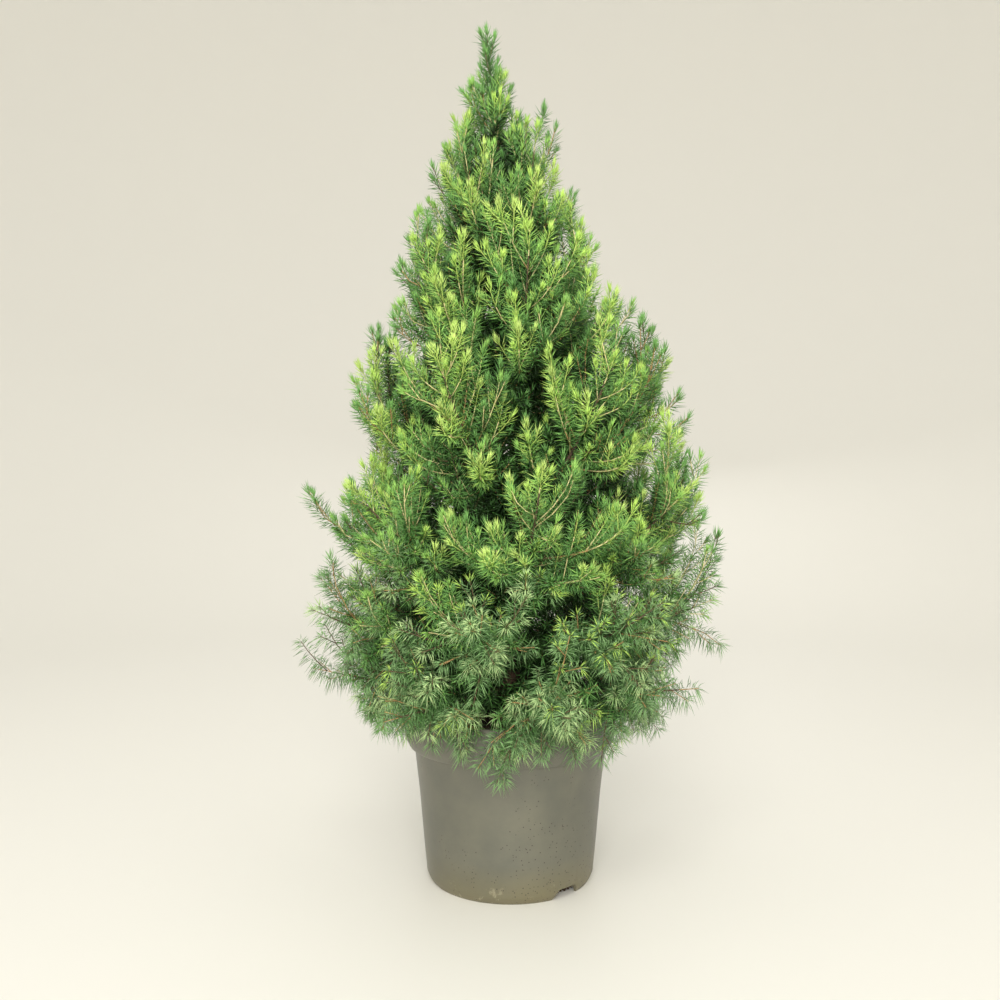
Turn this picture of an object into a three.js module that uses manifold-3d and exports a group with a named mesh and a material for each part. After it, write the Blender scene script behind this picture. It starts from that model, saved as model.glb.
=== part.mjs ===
// Potted dwarf spruce: a young conical conifer in a round grey nursery container.
// Millimetres, +Z up. The origin is the centre of the pot's underside, on the surface it stands on.
// The front of the plant faces -Y, and +X is to its right.

import * as THREE from "three";
import { mergeVertices } from "three/addons/utils/BufferGeometryUtils.js";
import Module from "manifold-3d";

const wasm = await Module();
wasm.setup();

// Pieces that touch lie this far apart
const touch = 0.3;

// Container: a tapered wall on a ring foot, with a flared collar up to the rim
const pot = {
  footRadius: 90.7,
  footThickness: 3,
  chamferRadius: 95.2,
  chamferHeight: 9,
  floorHeight: 13,
  collarHeight: 152,
  wallTopRadius: 109.3,
  collarRadius: 114.5,
  flare: 10,
  rimRadius: 121,
  rimHeight: 195,
  thickness: 1.8,
  facets: 28,
};

// Two arched gaps in the ring foot, opposite each other; the azimuth turns to the right of the front
const notch = { azimuth: 41, footWidth: 38, topWidth: 26, height: 11.5, depth: 24 };

// Potting soil: level at the wall, a little higher round the trunk
const soil = { edgeHeight: 172, middleHeight: 177, flatRadius: 24, wallGap: 0.45 };

// Trunk: flared at the soil, bowed a little right on the way up and leaning left at the top
const trunk = {
  foot: soil.middleHeight + touch,
  tip: 822,
  footRadius: 15,
  stemRadius: 10.5,
  tipRadius: 2.4,
  flareHeight: 30,
  lean: -27,
  bow: 11,
  sway: 5,
  sides: 8,
  steps: 16,
};

// Outline of the foliage: a skirt that rounds in under its widest place, then a bulging cone to the leader
const crown = { top: 962, waist: 392, widest: 236, skirt: 262, hem: 140, bulge: 1.28 };

// Places where the outline is pressed in, as azimuth, height, depth and how far each spreads
const dents = [
  { azimuth: -90, height: 486, depth: 42, spread: 34 },
  { azimuth: 90, height: 726, depth: 20, spread: 22 },
];

// Tiers of main branches from the bottom up: number, height at the trunk and at the tips,
// share of the length that is a bare bough, the slant of the side sprays, and turn
const tiers = [
  { name: "skirt", count: 7, base: 211, tip: 226, bough: 0.46, slant: 44, turn: 14 },
  { name: "low", count: 7, base: 250, tip: 330, bough: 0.42, slant: 44, turn: 39 },
  { name: "middle", count: 6, base: 306, tip: 462, bough: 0.36, slant: 42, turn: 6 },
  { name: "upper", count: 6, base: 404, tip: 596, bough: 0, slant: 38, turn: 36 },
  { name: "high", count: 5, base: 530, tip: 728, bough: 0, slant: 34, turn: 12 },
  { name: "crest", count: 4, base: 664, tip: 852, bough: 0, slant: 28, turn: 52 },
];
const leader = { name: "leader", bough: 0, slant: 24, from: 0.05 };

// Main branch: sets off flatter than the line to its tip, then turns up
const branch = { rootRadius: 5, tipRadius: 2.8, sides: 5, steps: 4, wander: 12, bendOut: 0.6, bendUp: 0.34 };

// Places that the side sprays grow towards, in layers at a share of the way out to the outline
const goals = { inset: 7, ragged: 0.07, topWeight: 40 };
const layers = [
  { count: 192, share: 1, lowest: 172, highest: 946, turn: 0 },
  { count: 62, share: 0.7, lowest: 200, highest: 880, turn: 70 },
  { count: 30, share: 0.82, lowest: 178, highest: 330, turn: 25 },
];

// Spray: a bare twig, then a slim three-sided body whose faces rise into needles that lean forwards
const spray = {
  longest: 170,
  least: 38,
  leafy: 104,
  bare: 0.18,
  rootRadius: 0.9,
  bodyRadius: 3.9,
  needle: 25,
  lean: 0.7,
  tipShare: 0.72,
  clearance: 1.2,
  crowding: 8,
};

const treeSeed = 43;
const goldenTurn = THREE.MathUtils.degToRad(137.508);
const up = new THREE.Vector3(0, 0, 1);
const { lerp, clamp, degToRad } = THREE.MathUtils;

// A repeatable stream of numbers from 0 to 1
function numberStream(seed) {
  let state = (seed * 2654435 + 12345) % 4294967296;
  return () => {
    state = (state * 1664525 + 1013904223) % 4294967296;
    return state / 4294967296;
  };
}

// The same shape with its shared corners merged and nothing but positions kept
function cornersOnly(shape) {
  const bare = shape.clone();
  bare.deleteAttribute("normal");
  bare.deleteAttribute("uv");
  return mergeVertices(bare, 1e-3);
}

function solidOf(shape) {
  const merged = cornersOnly(shape);
  const vertProperties = new Float32Array(merged.attributes.position.array);
  const triVerts = new Uint32Array(merged.index.array);
  return new wasm.Manifold(new wasm.Mesh({ numProp: 3, vertProperties, triVerts }));
}

// The largest closed body of a solid, with any loose scrap dropped and any sealed hollow filled
function largestBody(solid) {
  const bodies = solid.decompose();
  return bodies.reduce((most, body) => (body.volume() > most.volume() ? body : most));
}

function meshOf(name, solid, look) {
  const made = solid.getMesh();
  const shape = new THREE.BufferGeometry();
  shape.setAttribute("position", new THREE.BufferAttribute(new Float32Array(made.vertProperties), 3));
  shape.setIndex(new THREE.BufferAttribute(new Uint32Array(made.triVerts), 1));
  shape.computeVertexNormals();
  const mesh = new THREE.Mesh(shape, new THREE.MeshStandardMaterial({ ...look, metalness: 0 }));
  mesh.name = name;
  return mesh;
}

// A profile of [radius, height] pairs turned about the vertical axis
function turned(profile) {
  const points = profile.map(([radius, height]) => new THREE.Vector2(radius, height));
  return solidOf(new THREE.LatheGeometry(points, pot.facets).rotateX(Math.PI / 2));
}

// A limb along a curve between two of its parameters, with a radius that follows the parameter
function limb(curve, from, to, radiusAt, sides, steps, sideways) {
  const shape = cornersOnly(new THREE.CylinderGeometry(1, 1, 1, sides, steps).translate(0, 0.5, 0));
  const corners = shape.attributes.position;
  const corner = new THREE.Vector3();
  for (let i = 0; i < corners.count; i++) {
    const t = lerp(from, to, corners.getY(i));
    const along = curve.getTangent(clamp(t, 0, 1));
    const across = sideways.clone().addScaledVector(along, -sideways.dot(along)).normalize();
    const third = across.clone().cross(along);
    const radius = radiusAt(t);
    corner.copy(curve.getPoint(t));
    corner.addScaledVector(across, radius * corners.getX(i));
    corner.addScaledVector(third, radius * corners.getZ(i));
    corners.setXYZ(i, corner.x, corner.y, corner.z);
  }
  return shape;
}

// The trunk's axis, from its foot to the crown's top
class TrunkCurve extends THREE.Curve {
  getPoint(t, point = new THREE.Vector3()) {
    const x = trunk.lean * t * t + trunk.bow * Math.sin(Math.PI * t) ** 2;
    const y = trunk.sway * Math.sin(2 * Math.PI * t);
    return point.set(x, y, lerp(trunk.foot, crown.top, t));
  }
}

const trunkCurve = new TrunkCurve();
const shareOfTrunk = (height) => clamp((height - trunk.foot) / (crown.top - trunk.foot), 0, 1);
const trunkAt = (height) => trunkCurve.getPoint(shareOfTrunk(height)).setZ(height);

function trunkRadius(height) {
  const share = clamp((height - trunk.foot) / (trunk.tip - trunk.foot), 0, 1);
  const flare = (trunk.footRadius - trunk.stemRadius) * Math.exp((trunk.foot - height) / trunk.flareHeight);
  return lerp(trunk.stemRadius, trunk.tipRadius, share) + flare;
}

// How far the foliage reaches from the trunk's axis, at a height and in a direction
function crownRadius(height, azimuth) {
  let radius = crown.widest;
  if (height > crown.waist) {
    const climb = Math.min(1, (height - crown.waist) / (crown.top - crown.waist));
    radius *= 1 - climb ** crown.bulge;
  } else if (height < crown.skirt) {
    const drop = Math.min(1, (crown.skirt - height) / (crown.skirt - crown.hem));
    radius *= Math.sqrt(1 - drop * drop);
  }
  for (const dent of dents) {
    const facing = Math.max(0, Math.cos(azimuth - degToRad(dent.azimuth)));
    const off = (height - dent.height) / dent.spread;
    radius -= dent.depth * facing * facing * Math.exp(-off * off);
  }
  return Math.max(0, radius);
}

// The azimuth of a point from the trunk's axis, and its distance from it
function fromTrunk(point) {
  const axis = trunkAt(point.z);
  const x = point.x - axis.x;
  const y = point.y - axis.y;
  return { azimuth: Math.atan2(x, -y), distance: Math.hypot(x, y) };
}

// A branch's curve as straight steps, for measuring the distance to it
function stepsOf(curve) {
  const points = curve.getPoints(branch.steps);
  return points.slice(1).map((point, i) => new THREE.Line3(points[i], point));
}

function distanceTo(lines, point) {
  const nearest = new THREE.Vector3();
  const distances = lines.map((line) => line.closestPointToPoint(point, true, nearest).distanceTo(point));
  return Math.min(...distances);
}

// Every main branch: its curve from the trunk's axis to its tip, and its own stream of numbers
function growBranches() {
  const grown = [];
  tiers.forEach((tier, row) => {
    for (let k = 0; k < tier.count; k++) {
      const next = numberStream(treeSeed + 101 * row + 13 * k);
      const azimuth = degToRad(tier.turn + (360 / tier.count) * (k + 0.2 * (next() - 0.5)));
      const outwards = new THREE.Vector3(Math.sin(azimuth), -Math.cos(azimuth), 0);
      const stagger = ((k * Math.floor(tier.count / 2)) % tier.count) / tier.count;
      const start = trunkAt(tier.base + 2 * branch.wander * (stagger - 0.4));
      const height = tier.tip + 2 * branch.wander * (next() - 0.5);
      const reach = crownRadius(height, azimuth) * (0.98 + 0.05 * next());
      const tip = trunkAt(height).addScaledVector(outwards, reach);
      const bend = start.clone().lerp(tip, branch.bendOut);
      bend.z = lerp(start.z, tip.z, branch.bendUp);
      const curve = new THREE.QuadraticBezierCurve3(start, bend, tip);
      const sideways = new THREE.Vector3(Math.cos(azimuth), Math.sin(azimuth), 0);
      const slimming = lerp(1, 0.52, (start.z - tiers[0].base) / (crown.top - tiers[0].base));
      const name = `${tier.name}_${k + 1}`;
      grown.push({ name, tier, curve, sideways, slimming, next, lines: stepsOf(curve) });
    }
  });
  return grown;
}

// The leader above the trunk's tip, which carries the topmost sprays
function growLeader() {
  const start = trunkAt(trunk.tip);
  const tip = trunkAt(crown.top);
  const curve = new THREE.QuadraticBezierCurve3(start, start.clone().lerp(tip, 0.5), tip);
  const sideways = new THREE.Vector3(1, 0, 0);
  const next = numberStream(treeSeed + 997);
  return { name: leader.name, tier: leader, curve, sideways, slimming: 0.7, next, lines: stepsOf(curve) };
}

const branchRadius = (one) => (t) =>
  one.slimming * lerp(branch.rootRadius, branch.tipRadius, Math.sqrt(clamp(t, 0, 1)));

// True where a point is inside the outline, clear of pot and trunk, and nearer its own branch than any other
function inOwnSpace(point, one, all) {
  const { azimuth, distance } = fromTrunk(point);
  if (point.z > crown.top || distance > crownRadius(point.z, azimuth) * (1 + goals.ragged) + 10) {
    return false;
  }
  if (point.z < trunk.tip + 8 && distance < trunkRadius(point.z) + 3) {
    return false;
  }
  if (Math.hypot(point.x, point.y) < pot.rimRadius + 5 && point.z < pot.rimHeight + 6) {
    return false;
  }
  const own = distanceTo(one.lines, point) + spray.clearance;
  return all.every((other) => other === one || distanceTo(other.lines, point) > own);
}

// A spray that grows along +Y from the origin: rows of three corners, the faces of the leafy part raised
function sprayShape(length) {
  const rows = 3;
  const leafy = Math.min(spray.leafy, length * (1 - spray.bare));
  const heights = [0, length - leafy, length - 0.52 * leafy, length];
  const radii = [spray.rootRadius, spray.bodyRadius, 0.8 * spray.bodyRadius, 0];
  const cone = cornersOnly(new THREE.ConeGeometry(1, 1, 3, rows).translate(0, 0.5, 0));
  const place = cone.attributes.position;
  const corners = [];
  const rowOf = [];
  for (let i = 0; i < place.count; i++) {
    const row = Math.round(place.getY(i) * rows);
    const onAxis = Math.hypot(place.getX(i), place.getZ(i)) < 1e-3;
    const angle = Math.atan2(place.getX(i), place.getZ(i)) + ((rows - row) * Math.PI) / 3;
    const radius = onAxis ? 0 : radii[row];
    corners.push(new THREE.Vector3(radius * Math.sin(angle), heights[row], radius * Math.cos(angle)));
    rowOf.push(row);
  }
  const triangles = [];
  const reach = spray.needle * Math.min(1, 0.5 + 0.5 * (length / spray.leafy));
  for (let f = 0; f < cone.index.count; f += 3) {
    const [a, b, c] = [cone.index.getX(f), cone.index.getX(f + 1), cone.index.getX(f + 2)];
    if (Math.min(rowOf[a], rowOf[b], rowOf[c]) < 1) {
      triangles.push(a, b, c);
      continue;
    }
    const middle = corners[a].clone().add(corners[b]).add(corners[c]).divideScalar(3);
    const outwards = new THREE.Vector3(middle.x, 0, middle.z).normalize();
    const atTip = Math.max(rowOf[a], rowOf[b], rowOf[c]) === rows;
    const needle = atTip ? spray.tipShare * reach : reach;
    middle.addScaledVector(outwards, needle * Math.sqrt(1 - spray.lean ** 2));
    middle.y += needle * spray.lean;
    const point = corners.push(middle) - 1;
    triangles.push(a, b, point, b, c, point, c, a, point);
  }
  return new THREE.BufferGeometry().setFromPoints(corners).setIndex(triangles);
}

// Turns a shape from +Y to a heading, spins it about itself and moves it to its root
function placed(shape, root, heading, roll) {
  const turn = new THREE.Quaternion().setFromUnitVectors(new THREE.Vector3(0, 1, 0), heading);
  const spin = new THREE.Quaternion().setFromAxisAngle(heading, roll);
  return shape.applyQuaternion(spin.multiply(turn)).translate(root.x, root.y, root.z);
}

function cornersInOwnSpace(shape, root, one, all) {
  const point = new THREE.Vector3();
  for (let i = 0; i < shape.attributes.position.count; i++) {
    point.fromBufferAttribute(shape.attributes.position, i);
    if (point.distanceTo(root) > 16 && !inOwnSpace(point, one, all)) {
      return false;
    }
  }
  return true;
}

// Goals for the sprays: a golden-angle spiral, even over the crown's surface, each with the branch that lies nearest
function crownGoals(all) {
  const next = numberStream(treeSeed + 500);
  const slices = 120;
  const found = [];
  for (const layer of layers) {
    const heightOf = (slice) => lerp(layer.lowest, layer.highest, slice / slices);
    const sums = [0];
    for (let i = 0; i < slices; i++) {
      sums.push(sums[i] + crownRadius(heightOf(i + 0.5), 0) + goals.topWeight);
    }
    for (let i = 0; i < layer.count; i++) {
      const wanted = (sums[slices] * (i + 0.5)) / layer.count;
      const slice = sums.findIndex((sum) => sum > wanted) - 1;
      const height = heightOf(slice + (wanted - sums[slice]) / (sums[slice + 1] - sums[slice]));
      const azimuth = i * goldenTurn + degToRad(layer.turn);
      const edge = layer.share * crownRadius(height, azimuth) * (1 + goals.ragged * (2 * next() - 1));
      const reach = Math.max(edge - goals.inset, edge / 2);
      const point = trunkAt(height);
      point.x += reach * Math.sin(azimuth);
      point.y -= reach * Math.cos(azimuth);
      const distances = all.map((one) => distanceTo(one.lines, point));
      found.push({ point, owner: all[distances.indexOf(Math.min(...distances))] });
    }
  }
  return found;
}

// Where a spray leaves its branch, so that it reaches its goal at the tier's slant
function rootFor(goal, one) {
  let best = { miss: Infinity };
  for (let t = one.tier.from ?? Math.max(one.tier.bough, 0.16) + 0.03; t < 0.97; t += 0.02) {
    const root = one.curve.getPoint(t);
    const heading = goal.clone().sub(root);
    const length = heading.length();
    const slant = heading.normalize().angleTo(one.curve.getTangent(t));
    const miss = Math.abs(slant - degToRad(one.tier.slant)) + Math.max(0, length / spray.longest - 1);
    if (miss < best.miss) {
      best = { miss, root, heading, length };
    }
  }
  return best;
}

// True where the outer part of a spray comes too near the line of another, or the other of its line
function crowds(shape, axis, side) {
  const near = (corners, own, other) => {
    const point = new THREE.Vector3();
    for (let i = 0; i < corners.count; i++) {
      point.fromBufferAttribute(corners, i);
      if (own.start.distanceTo(point) > 0.4 * own.distance() && distanceTo([other], point) < spray.crowding) {
        return true;
      }
    }
    return false;
  };
  return near(shape.attributes.position, axis, side.axis) || near(side.shape.attributes.position, side.axis, axis);
}

// Side sprays of a branch: each is drawn back from its goal until it keeps to the branch's own space
function growSprays(one, all, places) {
  const kept = [];
  for (const place of places.filter((each) => each.owner === one)) {
    const { root, heading, length } = rootFor(place.point, one);
    const roll = 2 * Math.PI * one.next();
    for (let share = 1; share * length > spray.least; share *= 0.88) {
      const reach = Math.min(share * length, spray.longest);
      const shape = placed(sprayShape(reach), root, heading, roll);
      const axis = new THREE.Line3(root, root.clone().addScaledVector(heading, reach));
      const meets = kept.some((side) => crowds(shape, axis, side));
      if (!meets && cornersInOwnSpace(shape, root, one, all)) {
        kept.push({ shape, axis });
        break;
      }
    }
  }
  return kept;
}

// Foliage of a branch: the rest of its length as a stem that ends in a spray, with the side sprays fused on
function massSolid(one, all, places) {
  const reach = one.curve.getLength();
  const from = one.tier.bough > 0 ? one.tier.bough + touch / reach : 0;
  const until = Math.max(0.3, 1 - (0.8 * spray.leafy) / reach);
  const root = one.curve.getPoint(until - 5 / reach);
  const heading = one.curve.getPoint(1).sub(root);
  const length = heading.length();
  const end = placed(sprayShape(length), root, heading.normalize(), Math.PI * one.next());
  const stem = limb(one.curve, from, until, branchRadius(one), branch.sides - 1, 2, one.sideways);
  return wasm.Manifold.union([stem, end, ...growSprays(one, all, places).map((side) => side.shape)].map(solidOf));
}

function boughSolid(one) {
  return solidOf(limb(one.curve, 0, one.tier.bough, branchRadius(one), branch.sides, 2, one.sideways));
}

// The trunk, or a slightly fatter copy of it that trims the roots of the limbs
function trunkSolid(extra) {
  const end = shareOfTrunk(trunk.tip);
  const radiusAt = (t) => trunkRadius(lerp(trunk.foot, crown.top, t)) + extra;
  const shape = limb(trunkCurve, 0, end, radiusAt, trunk.sides, trunk.steps, new THREE.Vector3(1, 0, 0));
  const corners = shape.attributes.position;
  for (let i = 0; i < corners.count; i++) {
    if (corners.getZ(i) < trunk.foot + 8) {
      corners.setZ(i, trunk.foot);
    } else if (corners.getZ(i) > trunk.tip - 3) {
      corners.setZ(i, trunk.tip + extra);
    }
  }
  return solidOf(shape);
}

// Radius and height of the pot's inner wall, from the floor to the rim
const innerWall = [
  [pot.chamferRadius - pot.thickness, pot.floorHeight + pot.thickness],
  [pot.wallTopRadius - pot.thickness, pot.collarHeight + pot.thickness],
  [pot.rimRadius - 2 * pot.thickness, pot.collarHeight + pot.flare + pot.thickness],
  [pot.rimRadius - 2 * pot.thickness, pot.rimHeight],
];

function potSolid() {
  const footInside = pot.footRadius - pot.footThickness;
  const outside = [
    [0, pot.floorHeight],
    [footInside, pot.floorHeight],
    [footInside, 0],
    [pot.footRadius, 0],
    [pot.chamferRadius, pot.chamferHeight],
    [pot.wallTopRadius, pot.collarHeight],
    [pot.collarRadius, pot.collarHeight],
    [pot.rimRadius - 0.6, pot.collarHeight + pot.flare],
    [pot.rimRadius, pot.rimHeight],
  ];
  const inside = [...innerWall].reverse();
  const body = turned([...outside, ...inside, [0, innerWall[0][1]]]);
  const arch = new THREE.Shape([
    new THREE.Vector2(-notch.footWidth / 2, -1),
    new THREE.Vector2(notch.footWidth / 2, -1),
    new THREE.Vector2(notch.topWidth / 2, notch.height),
    new THREE.Vector2(-notch.topWidth / 2, notch.height),
  ]);
  const cutters = [0, 180].map((half) => {
    const cutter = new THREE.ExtrudeGeometry(arch, { depth: notch.depth, bevelEnabled: false });
    cutter.translate(0, 0, -notch.depth / 2).rotateX(Math.PI / 2).translate(0, -pot.footRadius, 0);
    return solidOf(cutter.rotateZ(degToRad(notch.azimuth + half)));
  });
  return body.subtract(wasm.Manifold.union(cutters));
}

function soilSolid() {
  const sides = innerWall.slice(0, 3).map(([radius, height]) => [radius - soil.wallGap, height]);
  sides[0][1] += touch;
  return turned([
    [0, sides[0][1]],
    ...sides,
    [sides[2][0], soil.edgeHeight],
    [soil.flatRadius, soil.middleHeight],
    [0, soil.middleHeight],
  ]);
}

const looks = {
  pot: { color: "#7d7b72", roughness: 0.6 },
  soil: { color: "#3a2c22", roughness: 0.95 },
  bark: { color: "#8a6a4c", roughness: 0.9 },
  needles: { color: "#4c7a36", roughness: 0.75 },
};

const container = new THREE.Group();
container.add(meshOf("pot", potSolid(), looks.pot));
container.add(meshOf("soil", soilSolid(), looks.soil));

const tree = new THREE.Group();
tree.add(meshOf("trunk", trunkSolid(0), looks.bark));
const trunkTrim = trunkSolid(touch);
const branches = [...growBranches(), growLeader()];
const places = crownGoals(branches);
for (const one of branches) {
  if (one.tier.bough > 0) {
    tree.add(meshOf(`bough_${one.name}`, boughSolid(one).subtract(trunkTrim), looks.bark));
  }
  const foliage = largestBody(massSolid(one, branches, places).subtract(trunkTrim));
  tree.add(meshOf(`foliage_${one.name}`, foliage, looks.needles));
}

const pottedSpruce = new THREE.Group();
pottedSpruce.add(container, tree);

export default pottedSpruce;
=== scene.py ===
import math
import bpy
import numpy as np
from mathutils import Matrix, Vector, noise


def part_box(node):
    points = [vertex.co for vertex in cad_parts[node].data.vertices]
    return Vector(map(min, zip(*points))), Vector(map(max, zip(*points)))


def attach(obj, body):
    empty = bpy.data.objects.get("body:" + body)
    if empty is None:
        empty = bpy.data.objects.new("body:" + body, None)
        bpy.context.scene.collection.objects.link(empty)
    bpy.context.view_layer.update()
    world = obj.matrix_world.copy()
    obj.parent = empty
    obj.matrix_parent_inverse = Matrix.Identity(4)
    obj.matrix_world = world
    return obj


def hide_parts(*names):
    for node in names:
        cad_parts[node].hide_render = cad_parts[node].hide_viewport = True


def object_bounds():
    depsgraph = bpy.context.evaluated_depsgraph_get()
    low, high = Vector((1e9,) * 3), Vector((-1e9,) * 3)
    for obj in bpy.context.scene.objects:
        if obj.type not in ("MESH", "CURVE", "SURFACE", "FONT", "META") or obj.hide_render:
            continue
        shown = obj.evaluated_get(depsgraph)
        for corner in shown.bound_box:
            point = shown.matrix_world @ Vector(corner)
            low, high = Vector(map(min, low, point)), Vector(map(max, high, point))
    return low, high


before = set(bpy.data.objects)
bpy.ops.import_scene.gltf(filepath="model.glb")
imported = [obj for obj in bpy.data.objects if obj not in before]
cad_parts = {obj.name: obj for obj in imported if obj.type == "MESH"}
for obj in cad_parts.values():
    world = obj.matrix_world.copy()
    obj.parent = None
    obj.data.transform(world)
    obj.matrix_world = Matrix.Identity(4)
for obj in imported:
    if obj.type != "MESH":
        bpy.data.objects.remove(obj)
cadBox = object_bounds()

# Potted dwarf spruce in a grey nursery pot. Metres, +Z up, the front faces -Y.


# Helpers for colours, selection, round shapes and material nodes

def linear(red, green, blue):  # a colour as read on a screen, for a shader
    def one(value):
        part = value / 255
        return part / 12.92 if part <= 0.04045 else ((part + 0.055) / 1.055) ** 2.4
    return (one(red), one(green), one(blue), 1.0)


def deselectAll():
    if bpy.context.object and bpy.context.object.mode != "OBJECT":
        bpy.ops.object.mode_set(mode="OBJECT")
    bpy.ops.object.select_all(action="DESELECT")


def choose(piece):  # selected alone, and active
    deselectAll()
    piece.select_set(True)
    bpy.context.view_layer.objects.active = piece


def settle(piece):  # the object's own place goes into its mesh
    choose(piece)
    bpy.ops.object.transform_apply(location=True, rotation=True, scale=True)


def applyModifiers(piece):
    choose(piece)
    for modifier in list(piece.modifiers):
        bpy.ops.object.modifier_apply(modifier=modifier.name)


def smoothByAngle(piece, degrees):
    choose(piece)
    bpy.ops.object.shade_smooth_by_angle(angle=math.radians(degrees))


def startDisc(name, sides, radius, place, selectBy="FACE"):  # a flat round face, left open for editing
    deselectAll()
    bpy.ops.mesh.primitive_circle_add(vertices=sides, radius=radius, fill_type="NGON", location=place)
    disc = bpy.context.object
    disc.name = name
    settle(disc)
    bpy.ops.object.mode_set(mode="EDIT")
    bpy.ops.mesh.select_mode(type=selectBy)
    bpy.ops.mesh.select_all(action="SELECT")
    return disc


def onAxis(height):
    return np.array((0, 0, height))


# What is selected is carried from ring to ring along a line, each ring a radius and a height
def extrudeStations(stations, lineAt=onAxis, extrude=bpy.ops.mesh.extrude_region_move):
    for (radius, height), (nextRadius, nextHeight) in zip(stations, stations[1:]):
        here, there = lineAt(height), lineAt(nextHeight)
        extrude(TRANSFORM_OT_translate={"value": tuple(there - here)})
        grow = nextRadius / radius
        bpy.ops.transform.resize(value=(grow, grow, 1), center_override=tuple(there))


def addModifier(piece, name, kind, **values):
    modifier = piece.modifiers.new(name, kind)
    for key, value in values.items():
        setattr(modifier, key, value)


def newMaterial(name, colour, roughness):
    material = bpy.data.materials.new(name)
    material.use_nodes = True
    shader = material.node_tree.nodes["Principled BSDF"]
    shader.inputs["Base Color"].default_value = colour
    shader.inputs["Roughness"].default_value = roughness
    return material, material.node_tree, shader


def addNode(tree, kind, **values):  # each value goes to the input of that name, or else to the node
    node = tree.nodes.new(kind)
    for key, value in values.items():
        if key in node.inputs:
            node.inputs[key].default_value = value
        else:
            setattr(node, key, value)
    return node


def onPiece(tree, *textures):  # they read the piece's own coordinates
    place = addNode(tree, "ShaderNodeTexCoord")
    for texture in textures:
        tree.links.new(place.outputs["Object"], texture.inputs["Vector"])


def ramp(tree, value, low, first, high, last):  # the first colour up to low, the last one from high
    tone = addNode(tree, "ShaderNodeValToRGB")
    for i, (position, colour) in enumerate(((low, first), (high, last))):
        tone.color_ramp.elements[i].position = position
        tone.color_ramp.elements[i].color = colour
    tree.links.new(value, tone.inputs["Fac"])
    return tone.outputs["Color"]


def rescale(tree, value, start, end, low=0, high=1):  # start to end becomes low to high
    scale = addNode(tree, "ShaderNodeMapRange")
    for name, number in {"From Min": start, "From Max": end, "To Min": low, "To Max": high}.items():
        scale.inputs[name].default_value = number
    tree.links.new(value, scale.inputs["Value"])
    return scale.outputs["Result"]


def multiply(tree, first, second):
    product = addNode(tree, "ShaderNodeMath", operation="MULTIPLY")
    tree.links.new(first, product.inputs[0])
    tree.links.new(second, product.inputs[1])
    return product.outputs["Value"]


def paintOver(tree, colour, paint, share):  # a share of the paint over the colour
    mix = addNode(tree, "ShaderNodeMix", data_type="RGBA")
    mix.inputs["B"].default_value = paint
    tree.links.new(share, mix.inputs["Factor"])
    tree.links.new(colour, mix.inputs["A"])
    return mix.outputs["Result"]


def roughen(tree, shader, height, strength, distance):
    bump = addNode(tree, "ShaderNodeBump", Strength=strength, Distance=distance)
    tree.links.new(height, bump.inputs["Height"])
    tree.links.new(bump.outputs["Normal"], shader.inputs["Normal"])


# Camera, floor and light

viewSizes = {
    "place": (-0.0115, -1.199, 0.467),  # the eye, a little left of the pot's centre
    "pitchDown": 1.77,
    "lens": 37.8,
    "sensor": 36.0,
    "farthest": 50,
}

roomSizes = {
    "floorRadius": 1.8,
    "sweepRadius": 2.6,  # the floor curves up into the wall all round
    "wallTop": 4.2,
    "sides": 64,
    "rings": 20,
    "colour": linear(234, 231, 222),
}

lightSizes = {
    "front": {"place": (-0.1, -3.2, 1.2), "size": 1.8, "power": 33, "spread": 96, "tint": (1, 0.995, 0.98)},
    "key": {"place": (-0.3, -1.9, 2.6), "size": 1.3, "power": 24, "spread": 180, "tint": (1, 0.995, 0.975)},
    "back": {"place": (0.4, 2.8, 1.6), "size": 1.8, "power": 8, "spread": 180, "tint": (0.98, 0.99, 1)},
}

lightAim = (0, 0, 0.45)  # the middle of the crown
worldLight = {"colour": (0.975, 0.978, 0.962, 1), "strength": 0.83}


def setLook():  # plain colours, as the photograph's
    bpy.context.scene.view_settings.view_transform = "Standard"


def addCamera():
    bpy.ops.object.camera_add(
        location=viewSizes["place"], rotation=(math.radians(90 - viewSizes["pitchDown"]), 0, 0))
    camera = bpy.context.object
    camera.data.sensor_width = viewSizes["sensor"]
    camera.data.lens = viewSizes["lens"]
    camera.data.clip_end = viewSizes["farthest"]
    bpy.context.scene.camera = camera


def addLights():
    for name, light in lightSizes.items():
        aim = (Vector(lightAim) - Vector(light["place"])).to_track_quat("-Z", "Y")
        bpy.ops.object.light_add(type="AREA", location=light["place"], rotation=aim.to_euler())
        lamp = bpy.context.object
        lamp.name = name + "Light"
        lamp.data.shape = "DISK"
        lamp.data.size = light["size"]
        lamp.data.energy = light["power"]
        lamp.data.spread = math.radians(light["spread"])
        lamp.data.color = light["tint"]
        lamp.visible_camera = False  # no bright disc in the views from behind
    world = bpy.data.worlds.new("paleRoom")
    world.use_nodes = True
    background = world.node_tree.nodes["Background"]
    background.inputs["Color"].default_value = worldLight["colour"]
    background.inputs["Strength"].default_value = worldLight["strength"]
    bpy.context.scene.world = world


def addRoom():  # a pale floor that curves up all round, with no edge in any view
    size = roomSizes
    room = startDisc("roomFloor", size["sides"], size["floorRadius"], (0, 0, 0), selectBy="EDGE")
    stations = []
    for i in range(size["rings"] + 1):
        turn = 0.5 * math.pi * i / size["rings"]
        stations.append((size["floorRadius"] + size["sweepRadius"] * math.sin(turn),
                         size["sweepRadius"] * (1 - math.cos(turn))))
    stations.append((stations[-1][0], size["wallTop"]))
    extrudeStations(stations, extrude=bpy.ops.mesh.extrude_edges_move)
    bpy.ops.object.mode_set(mode="OBJECT")
    smoothByAngle(room, 40)
    room.data.materials.append(newMaterial("paleFloor", size["colour"], 0.6)[0])


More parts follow.
